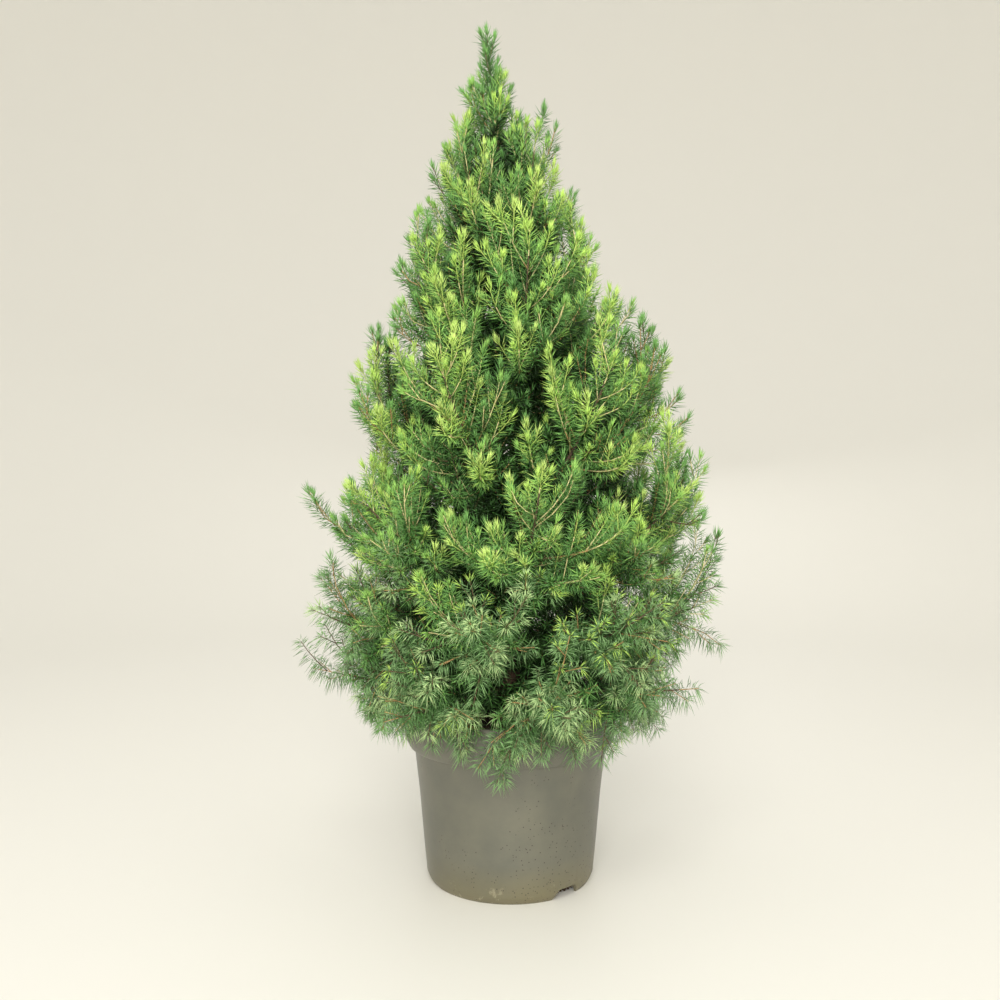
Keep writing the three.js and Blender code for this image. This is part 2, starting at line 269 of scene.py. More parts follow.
setLook()
addCamera()
addLights()
addRoom()
print("camera, light and floor done")


# Pot: a tapered wall on a ring foot, a flared collar, and two arched gaps in the foot

potLow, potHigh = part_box("pot")

potSizes = {
    "rimRadius": 0.5 * (potHigh[0] - potLow[0]),
    "rimHeight": potHigh[2],
    "footRadius": 0.0907,
    "footThickness": 0.003,
    "footSwell": (0.0022, 0.0034),  # how much wider the foot's outside gets, and by which height
    "chamferRadius": 0.0952,
    "chamferHeight": 0.009,
    "floorHeight": 0.013,
    "wallSteps": [(0.0035, 0.045), (0.0083, 0.100)],  # out from the chamfer, and height
    "collarHeight": 0.152,
    "wallTopRadius": 0.1093,
    "collarRadius": 0.1145,
    "collarRise": 0.0002,
    "softening": 0.0012,  # the small steps that round the collar and the rim
    "flare": 0.010,
    "flareSteps": [(0.0014, 1.0), (0.0006, 1.6)],  # in from the rim, and flares above the collar
    "rimSteps": [(0.0002, 0.004), (0, 0.0012), (0.0008, 0)],  # in from the rim, and down from its top
    "wall": 0.0018,
    "facets": 112,
    "notchTurns": (41, 221),
    "notchFoot": 0.038,
    "notchTop": 0.026,
    "notchHeight": 0.0115,
    "notchDepth": 0.03,
    "notchRound": 0.003,
    "notchBelow": 0.001,  # how far the cutter reaches below the foot
    "edge": 0.0006,
    "edgeAngle": 38,
    "merge": 0.00001,
}

potFinish = {
    "plain": linear(98, 98, 87),
    "dark": linear(87, 87, 77),
    "light": linear(103, 101, 87),
    "splash": linear(116, 107, 72),  # dusty olive near the foot
    "splashTop": 0.044,
    "splashFoot": 0.004,
    "specks": linear(52, 42, 32),
    "speckEdge": (0.12, 0.19),
    "speckDust": 0.50,  # they lie only where the dust is thicker than this
    "limescale": linear(158, 152, 124),
    "limescaleEdge": (0.58, 0.70),
    "limescaleTop": 0.024,
    "limescaleFoot": 0.008,
    "sheen": (0.26, 0.52),
}


def potStations():  # from under the floor round the foot, up the wall and down inside
    size = potSizes
    foot, chamfer, wall = size["footRadius"], size["chamferRadius"], size["wall"]
    rim, top, soft = size["rimRadius"], size["rimHeight"], size["softening"]
    collar, neck = size["collarHeight"], size["wallTopRadius"]
    return [
        (foot - size["footThickness"], size["floorHeight"]),
        (foot - size["footThickness"], 0),
        (foot, 0),
        (foot + size["footSwell"][0], size["footSwell"][1]),
        (chamfer, size["chamferHeight"]),
        *[(chamfer + out, height) for out, height in size["wallSteps"]],
        (neck, collar - soft),
        (neck + soft, collar),
        (size["collarRadius"], collar + size["collarRise"]),
        (size["collarRadius"] + soft, collar + wall),
        *[(rim - inward, collar + rise * size["flare"]) for inward, rise in size["flareSteps"]],
        *[(rim - inward, top - down) for inward, down in size["rimSteps"]],
        (rim - 1.5 * wall, top),
        (rim - 2 * wall, top - 0.001),
        (rim - 2 * wall, collar + size["flare"] + wall),
        (neck - wall, collar + wall),
        (chamfer - wall, size["floorHeight"] + wall),
    ]


def notchCutter(turn):
    size = potSizes
    deselectAll()
    bpy.ops.mesh.primitive_cube_add(size=1, location=(0, 0, 0))
    cutter = bpy.context.object
    bpy.ops.object.mode_set(mode="EDIT")
    height = size["notchHeight"] + 2 * size["notchBelow"]
    bpy.ops.transform.resize(value=(size["notchFoot"], size["notchDepth"], height))
    bpy.ops.object.mode_set(mode="OBJECT")
    for corner in cutter.data.vertices:
        if corner.co.z > 0:
            corner.co.x *= size["notchTop"] / size["notchFoot"]
    cutter.location = (
        size["footRadius"] * math.sin(math.radians(turn)),
        -size["footRadius"] * math.cos(math.radians(turn)),
        0.5 * size["notchHeight"] - size["notchBelow"],
    )
    cutter.rotation_euler = (0, 0, math.radians(turn))
    addModifier(cutter, "roundArch", "BEVEL", width=size["notchRound"], segments=3)
    applyModifiers(cutter)
    settle(cutter)
    return cutter


def potPlastic():
    finish = potFinish
    material, tree, shader = newMaterial("recycledPotPlastic", finish["plain"], 0.5)
    cloudy = addNode(tree, "ShaderNodeTexNoise", Scale=16.0, Detail=5.0, Roughness=0.6)
    dust = addNode(tree, "ShaderNodeTexNoise", Scale=7.0, Detail=7.0, Roughness=0.72)
    specks = addNode(tree, "ShaderNodeTexVoronoi", Scale=250.0)
    flecks = addNode(tree, "ShaderNodeTexNoise", Scale=90.0, Detail=6.0, Roughness=0.75)
    grain = addNode(tree, "ShaderNodeTexNoise", Scale=900.0, Detail=2.0)
    axes = addNode(tree, "ShaderNodeSeparateXYZ")
    onPiece(tree, cloudy, dust, specks, flecks, grain, axes)
    height, dusty = axes.outputs["Z"], dust.outputs["Fac"]
    colour = ramp(tree, cloudy.outputs["Fac"], 0.32, finish["dark"], 0.7, finish["light"])
    low = rescale(tree, height, finish["splashTop"], finish["splashFoot"])
    colour = paintOver(tree, colour, finish["splash"], multiply(tree, low, dusty))
    near, far = finish["speckEdge"]
    dots = ramp(tree, specks.outputs["Distance"], near, (1, 1, 1, 1), far, (0, 0, 0, 1))
    where = addNode(tree, "ShaderNodeMath", operation="GREATER_THAN")
    where.inputs[1].default_value = finish["speckDust"]
    tree.links.new(dusty, where.inputs[0])
    colour = paintOver(tree, colour, finish["specks"], multiply(tree, dots, where.outputs["Value"]))
    crust = rescale(tree, flecks.outputs["Fac"], *finish["limescaleEdge"])
    low = rescale(tree, height, finish["limescaleTop"], finish["limescaleFoot"])
    colour = paintOver(tree, colour, finish["limescale"], multiply(tree, crust, low))
    tree.links.new(colour, shader.inputs["Base Color"])
    tree.links.new(rescale(tree, dusty, 0, 1, *finish["sheen"]), shader.inputs["Roughness"])
    roughen(tree, shader, grain.outputs["Fac"], 0.12, 0.0004)
    return material


def makePot():
    size = potSizes
    stations = potStations()
    pot = startDisc("potBody", size["facets"], stations[0][0], (0, 0, size["floorHeight"]))
    extrudeStations(stations)
    bpy.ops.mesh.select_all(action="SELECT")
    bpy.ops.mesh.remove_doubles(threshold=size["merge"])
    bpy.ops.mesh.normals_make_consistent(inside=False)
    bpy.ops.object.mode_set(mode="OBJECT")
    cutters = [notchCutter(turn) for turn in size["notchTurns"]]
    for cutter in cutters:
        addModifier(pot, "footNotch", "BOOLEAN", operation="DIFFERENCE", solver="EXACT", object=cutter)
    addModifier(pot, "softEdges", "BEVEL", width=size["edge"], segments=2,
                limit_method="ANGLE", angle_limit=math.radians(size["edgeAngle"]))
    applyModifiers(pot)
    for cutter in cutters:
        bpy.data.objects.remove(cutter)
    smoothByAngle(pot, 35)
    pot.data.materials.append(potPlastic())
    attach(pot, "root")
    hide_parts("pot")
    print("pot done:", len(pot.data.polygons), "faces")


makePot()


# Soil: dark peat, lumpy, with loose crumbs on it

soilLow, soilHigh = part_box("soil")

soilSizes = {
    "radius": 0.5 * (soilHigh[0] - soilLow[0]) - 0.0006,
    "footHeight": soilLow[2] + 0.001,
    "edgeHeight": 0.1715,
    "middleHeight": soilHigh[2] - 0.001,
    "clearance": 0.001,  # from the pot's wall
    "shoulder": 0.002,  # above the pot's flare
    "sides": 96,
    "rings": 16,
    "lump": 0.0016,
    "lumpNoise": [(70, 0.3, 1), (190, 4.1, 0.6)],  # scale, level and share
    "sink": 0.4,
    "colours": (linear(38, 28, 21), linear(78, 60, 45)),  # dark and light
}

crumbSizes = {
    "seed": 5,
    "count": 2200,
    "size": (0.0009, 0.0028),
    "squash": (0.6, 1.1),
    "rough": 0.22,
    "standsOut": 0.3,
    "outermost": 0.97,
    "clearOfTrunk": 0.016,
    "washedOut": 260,  # behind each gap in the foot
    "washedTurn": 14,  # degrees to either side of the gap's middle
    "washedDepth": (0.0042, 0.017),  # in from the foot's inside
    "washedHeight": (0.0022, potSizes["floorHeight"] - 0.005),  # the lowest, and the range above it
    "washedSize": (0.0012, 0.0022),
    "colours": (linear(40, 30, 22), linear(84, 65, 48)),
}


def peat(name, dark, light):
    material, tree, shader = newMaterial(name, dark, 0.95)
    clods = addNode(tree, "ShaderNodeTexNoise", Scale=160.0, Detail=6.0, Roughness=0.7)
    onPiece(tree, clods)
    tree.links.new(ramp(tree, clods.outputs["Fac"], 0.35, dark, 0.72, light), shader.inputs["Base Color"])
    roughen(tree, shader, clods.outputs["Fac"], 0.6, 0.001)
    return material


def soilHeight(x, y):
    size = soilSizes
    rise = (size["middleHeight"] - size["edgeHeight"]) * max(0, 1 - math.hypot(x, y) / size["radius"])
    lumps = sum(share * noise.noise(Vector((x * scale, y * scale, level)))
                for scale, level, share in size["lumpNoise"])
    return size["edgeHeight"] + rise + size["lump"] * (lumps - size["sink"])


def makeSoil():
    size, pot = soilSizes, potSizes
    radius = size["radius"]
    soil = startDisc("soilBed", size["sides"], radius, (0, 0, size["footHeight"]))
    foot = pot["chamferRadius"] - pot["wall"] - size["clearance"]
    bpy.ops.transform.resize(value=(foot / radius, foot / radius, 1))
    extrudeStations([
        (foot, size["footHeight"]),
        (pot["wallTopRadius"] - pot["wall"] - size["clearance"], pot["collarHeight"]),
        (radius, pot["collarHeight"] + pot["flare"] + size["shoulder"]),
        (radius, size["edgeHeight"]),
    ])
    for i in range(size["rings"]):
        bpy.ops.mesh.inset(thickness=radius / (size["rings"] + 1.2), depth=0)
    bpy.ops.mesh.poke()
    bpy.ops.object.mode_set(mode="OBJECT")
    for corner in soil.data.vertices:
        if corner.co.z > size["edgeHeight"] - 0.0005:
            corner.co.z = soilHeight(corner.co.x, corner.co.y)
    smoothByAngle(soil, 60)
    soil.data.materials.append(peat("moistPeat", *size["colours"]))
    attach(soil, "root")
    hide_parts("soil")


def meshPiece(name, corners, triangles, material, smooth=True):  # a joined mesh from arrays
    mesh = bpy.data.meshes.new(name)
    mesh.vertices.add(len(corners))
    mesh.vertices.foreach_set("co", np.ascontiguousarray(corners, dtype=np.float32).ravel())
    mesh.loops.add(triangles.size)
    mesh.loops.foreach_set("vertex_index", np.ascontiguousarray(triangles, dtype=np.int32).ravel())
    mesh.polygons.add(len(triangles))
    mesh.polygons.foreach_set("loop_start", np.arange(0, triangles.size, 3, dtype=np.int32))
    mesh.polygons.foreach_set("use_smooth", np.full(len(triangles), smooth))
    mesh.update(calc_edges=True)
    piece = bpy.data.objects.new(name, mesh)
    bpy.context.scene.collection.objects.link(piece)
    mesh.materials.append(material)
    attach(piece, "root")
    return piece


def makeCrumbs():
    size, pot = crumbSizes, potSizes
    dice = np.random.default_rng(size["seed"])
    deselectAll()
    bpy.ops.mesh.primitive_ico_sphere_add(subdivisions=1, radius=1)
    lump = bpy.context.object
    shape = np.array([corner.co[:] for corner in lump.data.vertices])
    faces = np.array([face.vertices[:] for face in lump.data.polygons])
    bpy.data.objects.remove(lump)
    corners, triangles = [], []

    def addCrumb(x, y, z, spread):
        squash = dice.uniform(*size["squash"], 3)
        bits = shape * spread * squash * (1 + size["rough"] * dice.standard_normal((len(shape), 1)))
        triangles.append(faces + len(shape) * len(corners))
        corners.append(bits + (x, y, z + size["standsOut"] * spread))

    least, most = size["size"]
    for i in range(size["count"]):
        away = soilSizes["radius"] * size["outermost"] * math.sqrt(dice.random())
        turn = 2 * math.pi * dice.random()
        x, y = away * math.cos(turn), away * math.sin(turn)
        if math.hypot(x, y) > size["clearOfTrunk"]:
            addCrumb(x, y, soilHeight(x, y), least + (most - least) * dice.random() ** 3)
    lowest, rise = size["washedHeight"]
    for middle in pot["notchTurns"]:
        for i in range(size["washedOut"]):
            turn = math.radians(middle + dice.uniform(-size["washedTurn"], size["washedTurn"]))
            away = pot["footRadius"] - pot["footThickness"] - dice.uniform(*size["washedDepth"])
            height = rise * dice.random() ** 1.4 + lowest
            spread = dice.uniform(*size["washedSize"])
            addCrumb(away * math.sin(turn), -away * math.cos(turn), height, spread)
    meshPiece("soilCrumbs", np.concatenate(corners), np.concatenate(triangles),
              peat("dryPeatCrumbs", *size["colours"]), smooth=False)


makeSoil()
makeCrumbs()
print("soil done")


# The tree's plan: the trunk's line, the crown's outline and the main branches, as the solids have them

trunkLow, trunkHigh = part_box("trunk")

trunkSizes = {
    "foot": trunkLow[2],
    "tip": trunkHigh[2],
    "footRadius": 0.015,
    "stemRadius": 0.0105,
    "tipRadius": 0.0024,
    "flareHeight": 0.030,
    "lean": -0.027,
    "bow": 0.011,
    "sway": 0.005,
    "sides": 22,
    "rings": 90,
    "ridge": 0.0011,
    "ridgeScale": (210, 210, 34),  # narrow and long
}

crownSizes = {
    "top": cadBox[1][2],
    "waist": 0.392,
    "widest": 0.236,
    "skirt": 0.262,
    "hem": 0.140,
    "bulge": 1.28,
    # azimuth, height, depth, spread and narrowness
    "dents": [(-90, 0.486, 0.042, 0.034, 2), (90, 0.726, 0.020, 0.022, 2)],
}

tierSizes = {  # heights of base and tip, the share that is a bare bough, and two angles in degrees
    "skirt": {"count": 7, "base": 0.211, "tip": 0.226, "bough": 0.46, "slant": 44, "turn": 14},
    "low": {"count": 7, "base": 0.250, "tip": 0.330, "bough": 0.42, "slant": 44, "turn": 39},
    "middle": {"count": 6, "base": 0.306, "tip": 0.462, "bough": 0.36, "slant": 42, "turn": 6},
    "upper": {"count": 6, "base": 0.404, "tip": 0.596, "bough": 0.0, "slant": 38, "turn": 36},
    "high": {"count": 5, "base": 0.530, "tip": 0.728, "bough": 0.0, "slant": 34, "turn": 12},
    "crest": {"count": 4, "base": 0.664, "tip": 0.852, "bough": 0.0, "slant": 28, "turn": 52},
}

branchSizes = {
    "seed": 43,
    "rootRadius": 0.005,
    "tipRadius": 0.0007,
    "taper": 0.8,
    "slimming": 0.48,  # how much thinner the branches get, up to the tree's top
    "wander": 0.012,
    "turnPlay": 0.2,  # of the turn from one branch to the next
    "reach": 0.98,  # of the way to the outline, and its play
    "reachPlay": 0.05,
    "bendOut": 0.6,
    "bendUp": 0.34,
    "bare": 0.16,  # the least share of a branch without plumes
    "bareMargin": 0.03,
    "leaderSlant": 24,
    "leaderSlim": 0.7,
    "leaderBare": 0.05,
    "sides": 9,
    "rings": 18,
    "barkEnd": 0.86,  # of the branch's length
    "wobble": 0.16,  # of its girth
    "wobbleScale": 90,
}

goldenTurn = math.radians(137.508)
upwards = np.array((0, 0, 1.0))


def numberStream(seed):  # a repeatable stream of numbers from 0 to 1
    state = (seed * 2654435 + 12345) % 4294967296
    while True:
        state = (state * 1664525 + 1013904223) % 4294967296
        yield state / 4294967296


def clamp(value):
    return min(1, max(0, value))


def trunkAt(height):
    share = clamp((height - trunkSizes["foot"]) / (crownSizes["top"] - trunkSizes["foot"]))
    x = trunkSizes["lean"] * share ** 2 + trunkSizes["bow"] * math.sin(math.pi * share) ** 2
    return np.array((x, trunkSizes["sway"] * math.sin(2 * math.pi * share), height))


def trunkRadius(height):
    size = trunkSizes
    share = clamp((height - size["foot"]) / (size["tip"] - size["foot"]))
    flare = math.exp((size["foot"] - height) / size["flareHeight"])
    stem = size["stemRadius"] + (size["tipRadius"] - size["stemRadius"]) * share
    return stem + (size["footRadius"] - size["stemRadius"]) * flare


def dentAt(azimuth, height, turn, middle, depth, spread, narrow):
    facing = max(0, math.cos(azimuth - math.radians(turn)))
    return depth * facing ** narrow * math.exp(-((height - middle) / spread) ** 2)


def crownRadius(height, azimuth):
    size = crownSizes
    radius = size["widest"]
    if height > size["waist"]:
        climb = min(1, (height - size["waist"]) / (size["top"] - size["waist"]))
        radius *= 1 - climb ** size["bulge"]
    elif height < size["skirt"]:
        drop = min(1, (size["skirt"] - height) / (size["skirt"] - size["hem"]))
        radius *= math.sqrt(1 - drop * drop)
    for dent in size["dents"]:
        radius -= dentAt(azimuth, height, *dent)
    return max(0, radius)


def outFrom(height, azimuth, reach):  # a place at a distance from the trunk's line
    return trunkAt(height) + reach * np.array((math.sin(azimuth), -math.cos(azimuth), 0))


def unit(vector):
    return vector / np.linalg.norm(vector)


def pointOn(curve, t):
    start, bend, tip = curve
    return start * (1 - t) ** 2 + bend * 2 * t * (1 - t) + tip * t ** 2


def pointsOn(curve, shares):
    return np.array([pointOn(curve, t) for t in shares])


def tangentOn(curve, t):
    start, bend, tip = curve
    return unit((bend - start) * (1 - t) + (tip - bend) * t)


def growBranches():
    size = branchSizes
    lowest = tierSizes["skirt"]["base"]
    grown = []
    for row, (name, tier) in enumerate(tierSizes.items()):
        for k in range(tier["count"]):
            dice = numberStream(size["seed"] + 101 * row + 13 * k)
            play = size["turnPlay"] * (next(dice) - 0.5)
            azimuth = math.radians(tier["turn"] + 360 / tier["count"] * (k + play))
            stagger = ((k * (tier["count"] // 2)) % tier["count"]) / tier["count"]
            start = trunkAt(tier["base"] + 2 * size["wander"] * (stagger - 0.4))
            height = tier["tip"] + 2 * size["wander"] * (next(dice) - 0.5)
            reach = crownRadius(height, azimuth) * (size["reach"] + size["reachPlay"] * next(dice))
            tip = outFrom(height, azimuth, reach)
            bend = start + (tip - start) * size["bendOut"]
            bend[2] = start[2] + (tip[2] - start[2]) * size["bendUp"]
            slim = 1 - size["slimming"] * (start[2] - lowest) / (crownSizes["top"] - lowest)
            bare = max(tier["bough"], size["bare"]) + size["bareMargin"]
            grown.append({"name": f"{name}_{k + 1}", "curve": (start, bend, tip), "slim": slim,
                          "slant": tier["slant"], "bare": bare, "bough": tier["bough"]})
    start, tip = trunkAt(trunkSizes["tip"]), trunkAt(crownSizes["top"])
    grown.append({"name": "leader", "curve": (start, 0.5 * (start + tip), tip), "slim": size["leaderSlim"],
                  "slant": size["leaderSlant"], "bare": size["leaderBare"], "bough": 0.0})
    return grown


branches = growBranches()
print("branches planned:", len(branches))


# Bark: the trunk, its branches and their relief

barkKinds = {  # dark, light and the scale of the flakes
    "trunk": (linear(62, 48, 37), linear(120, 94, 68), 120.0),
    "branch": (linear(62, 49, 37), linear(106, 87, 65), 170.0),
}


def bark(name, dark, light, scale):
    material, tree, shader = newMaterial(name, light, 0.85)
    stretch = addNode(tree, "ShaderNodeMapping", Scale=(1, 1, 0.35))
    flakes = addNode(tree, "ShaderNodeTexNoise", Scale=scale, Detail=7.0, Roughness=0.7)
    onPiece(tree, stretch)
    tree.links.new(stretch.outputs["Vector"], flakes.inputs["Vector"])
    tree.links.new(ramp(tree, flakes.outputs["Fac"], 0.36, dark, 0.66, light), shader.inputs["Base Color"])
    roughen(tree, shader, flakes.outputs["Fac"], 0.7, 0.0008)
    return material


def makeTrunk():
    size = trunkSizes
    rise = size["tip"] - size["foot"]
    heights = [size["foot"] + rise * (i / size["rings"]) ** 1.2 for i in range(size["rings"] + 1)]
    trunk = startDisc("trunkBark", size["sides"], trunkRadius(heights[0]), trunkAt(heights[0]))
    extrudeStations([(trunkRadius(height), height) for height in heights], lineAt=trunkAt)
    bpy.ops.mesh.select_all(action="SELECT")
    bpy.ops.mesh.normals_make_consistent(inside=False)
    bpy.ops.object.mode_set(mode="OBJECT")
    for corner in trunk.data.vertices:  # long flaky ridges
        outward = corner.co - Vector(trunkAt(corner.co.z))
        outward.z = 0
        ridge = noise.noise(Vector([part * scale for part, scale in zip(corner.co, size["ridgeScale"])]))
        corner.co += outward.normalized() * size["ridge"] * ridge * min(1, outward.length / 0.008)
    smoothByAngle(trunk, 50)
    trunk.data.materials.append(bark("flakyBark", *barkKinds["trunk"]))
    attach(trunk, "root")
    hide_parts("trunk")


def frameFor(ahead, start=None):  # two directions square to it; a path's start decides for all of it
    steep = np.abs((ahead if start is None else start)[..., 2:3]) > 0.9
    across = np.cross(ahead, np.where(steep, np.array((1.0, 0, 0)), upwards))
    across /= np.linalg.norm(across, axis=-1, keepdims=True)
    return across, np.cross(ahead, across)


def ringAround(across, third, sides):  # unit vectors to a ring's corners
    turn = 2 * np.pi * np.arange(sides) / sides
    return across[..., None, :] * np.cos(turn)[:, None] + third[..., None, :] * np.sin(turn)[:, None]


def tubes(paths, radii, sides):  # closed tapered tubes along paths of equal length, as arrays
    count, stations, _ = paths.shape
    along = np.gradient(paths, axis=1)
    along /= np.linalg.norm(along, axis=2, keepdims=True)
    ring = ringAround(*frameFor(along, along[:, :1]), sides)
    corners = paths[:, :, None] + ring * radii[:, :, None, None]
    here = np.arange(sides)
    there = (here + 1) % sides
    faces = []
    for k in range(stations - 1):
        low, high = k * sides, (k + 1) * sides
        faces.append(np.stack((low + here, low + there, high + there), axis=1))
        faces.append(np.stack((low + here, high + there, high + here), axis=1))
    last = (stations - 1) * sides
    middle = here[1:-1]
    faces.append(np.stack((0 * middle, middle + 1, middle), axis=1))
    faces.append(np.stack((last + 0 * middle, last + middle, last + middle + 1), axis=1))
    offsets = np.arange(count)[:, None, None] * stations * sides
    return corners.reshape(-1, 3), (np.concatenate(faces)[None] + offsets).reshape(-1, 3)


def makeBranches():
    size = branchSizes
    steps = np.linspace(0, 1, size["rings"])
    paths, radii = [], []
    for branch in branches:
        paths.append(pointsOn(branch["curve"], size["barkEnd"] * steps))
        bumps = np.array([noise.noise(Vector(point * size["wobbleScale"])) for point in paths[-1]])
        slim = size["rootRadius"] + (size["tipRadius"] - size["rootRadius"]) * steps ** size["taper"]
        radii.append(branch["slim"] * (1 + size["wobble"] * bumps) * slim)
    corners, triangles = tubes(np.array(paths), np.array(radii), size["sides"])
    limbs = meshPiece("branchBark", corners, triangles, bark("branchBark", *barkKinds["branch"]))
    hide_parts(*[f"bough_{branch['name']}" for branch in branches if branch["bough"] > 0])


makeTrunk()
makeBranches()
print("trunk and branches done")


# Foliage: plumes from the branches towards even places on the outline, with side shoots and needles

# Count, share of the way to the outline, lowest and highest tip, turn and kind. The first three layers
# are the solids' own, and the others are the finer twigs between and behind them.
plumeLayers = [
    (192, 1.0, 0.172, 0.946, 0, "outer"),
    (62, 0.70, 0.200, 0.880, 70, "middle"),
    (30, 0.82, 0.178, 0.330, 25, "outer"),
    (210, 0.94, 0.182, 0.930, 33, "outer"),
    (44, 0.76, 0.190, 0.216, 10, "outer"),
    (90, 0.84, 0.200, 0.430, 150, "outer"),
    (190, 0.80, 0.190, 0.920, 110, "middle"),
    (170, 0.88, 0.190, 0.930, 210, "middle"),
    (260, 0.60, 0.200, 0.860, 190, "core"),
    (240, 0.38, 0.200, 0.800, 250, "core"),
    (110, 0.50, 0.200, 0.420, 290, "core"),
    (70, 0.68, 0.192, 0.300, 80, "middle"),
    (90, 0.40, 0.190, 0.270, 200, "core"),
    (36, 1.00, 0.164, 0.188, 60, "outer"),
    (120, 0.22, 0.210, 0.840, 330, "core"),
]

plumeSizes = {
    "seed": 7,
    "slices": 120,
    "inset": 0.013,
    "lowInset": 0.019,  # more inset in the low crown, reached over the drop below its top
    "lowInsetTop": 0.45,
    "lowInsetDrop": 0.06,
    "ragged": 0.07,
    "topWeight": 0.040,
    "rootStep": 0.02,  # where plumes can leave a branch, in shares of its length
    "lastRoot": 0.97,
    "coreRoot": 0.12,
    "longest": 0.170,
    "least": 0.026,
    "follow": 0.16,  # how far a plume first goes on along its branch
    "sag": 0.19,  # how far a plume hangs below its chord before it turns up
    "lowSag": 1.6,  # what comes off the sag near the pot, where the plumes arch over
    "lift": 0.70,  # how much of its bend lies straight under its tip, in the upper crown
    "lastRise": 0.42,
    "bare": 0.08,  # of a plume's span
    "endBare": 0.004,
    "hangBare": 0.02,
    "hangBend": 0.6,
    "points": 9,
    "clearOfPot": (0.004, 0.006),  # beside its rim and above it
    "pastSolids": 0.004,
}

branchEnds = {  # the stretch that is a plume too, in shares of the length, and its steps
    "leader": np.linspace(0.04, 0.985, 16),
    "outer": np.linspace(0.30, 0.97, 16),
}

# Gap and first place of the side shoots, their growth and limits, and the needles' share and girth
shootKinds = {
    "outer": {"gap": 0.0215, "from": 0.024, "growth": 0.39, "least": 0.020, "most": 0.056,
              "needles": 1.0, "girth": 1.0, "fine": True},
    "leader": {"gap": 0.010, "from": 0.022, "growth": 0.30, "least": 0.018, "most": 0.044,
               "needles": 1.7, "girth": 1.0, "fine": True},
    "middle": {"gap": 0.019, "from": 0.018, "growth": 0.40, "least": 0.020, "most": 0.050,
               "needles": 0.84, "girth": 1.4, "fine": False},
    "core": {"gap": 0.015, "from": 0.014, "growth": 0.5, "least": 0.028, "most": 0.062,
             "needles": 0.70, "girth": 2.4, "fine": False},
}

shootSizes = {
    "slant": 41,
    "slantPlay": 8,
    "aim": 0.004,  # half the stretch of stem that gives its direction
    "rise": 0.64,  # how much the side shoots turn up, in the upper crown
    "outward": 0.5,  # and how much they turn out, near the pot
    "curl": 0.3,
    "shortest": 0.010,
    "lengthPlay": (0.75, 1.2),
    "gapPlay": (0.75, 1.3),
    "fromPlay": (0.8, 1.3),
    "clearOfRoot": 0.012,
    "bare": 0.003,
    "points": 5,
    "quieterShare": 0.5,
}

hollows = [  # shadowy places between the plumes, given as the crown's dents are
    (2, 0.498, 0.092, 0.058, 18),
    (90, 0.688, 0.030, 0.026, 6),
    (200, 0.560, 0.050, 0.050, 22),
    (-112, 0.640, 0.030, 0.040, 18),
]

edgePlumes = [  # tips that stand out of the outline: distance to the right, to the back, and height
    (0.037, -0.02, 0.868), (0.052, 0.01, 0.855), (0.069, 0.02, 0.782), (0.083, -0.01, 0.722),
    (0.152, 0.01, 0.638), (0.173, -0.02, 0.600), (0.203, 0.0, 0.524), (0.217, 0.03, 0.441),
    (0.231, -0.02, 0.391), (0.243, 0.0, 0.262), (-0.074, 0.01, 0.830), (-0.087, -0.01, 0.805),
    (-0.107, 0.02, 0.731), (-0.122, -0.02, 0.695), (-0.149, 0.0, 0.624), (-0.176, 0.02, 0.537),
    (-0.225, -0.03, 0.442), (-0.240, 0.0, 0.268), (-0.045, -0.01, 0.893), (-0.150, 0.01, 0.162),
    (-0.207, 0.0, 0.223), (0.150, -0.01, 0.166), (0.173, 0.02, 0.160),
]

hangingTwigs = [  # over the front of the pot: their branch, where they leave it, and their tips
    {"branch": "skirt_1", "from": 0.56, "tips": ((-0.015, -0.153, 0.149), (-0.034, -0.151, 0.164))},
    {"branch": "skirt_1", "from": 0.50, "tips": ((0.066, -0.134, 0.168), (0.030, -0.150, 0.172))},
    {"branch": "skirt_2", "from": 0.52, "tips": ((0.094, -0.112, 0.160),)},
    {"branch": "skirt_7", "from": 0.52, "tips": ((-0.050, -0.138, 0.170),)},
]

twigSizes = {
    "tipRadius": 0.0004,
    "growth": 0.005,  # radius for each metre back from the tip
    "most": 0.00098,
    "sides": 4,
    "points": 4,
    "shortest": 0.002,
    "flakes": 240.0,
}

twigKinds = {  # dark and light bark, and how far from the tip each one ends
    "lime": {"colours": (linear(158, 184, 88), linear(200, 216, 118)), "end": 0.024},
    "cream": {"colours": (linear(198, 184, 124), linear(230, 218, 164)), "end": 0.070},
    "orange": {"colours": (linear(150, 118, 72), linear(190, 156, 104)), "end": 0.115},
    "brown": {"colours": (linear(78, 62, 45), linear(122, 98, 70)), "end": 1.0},
}

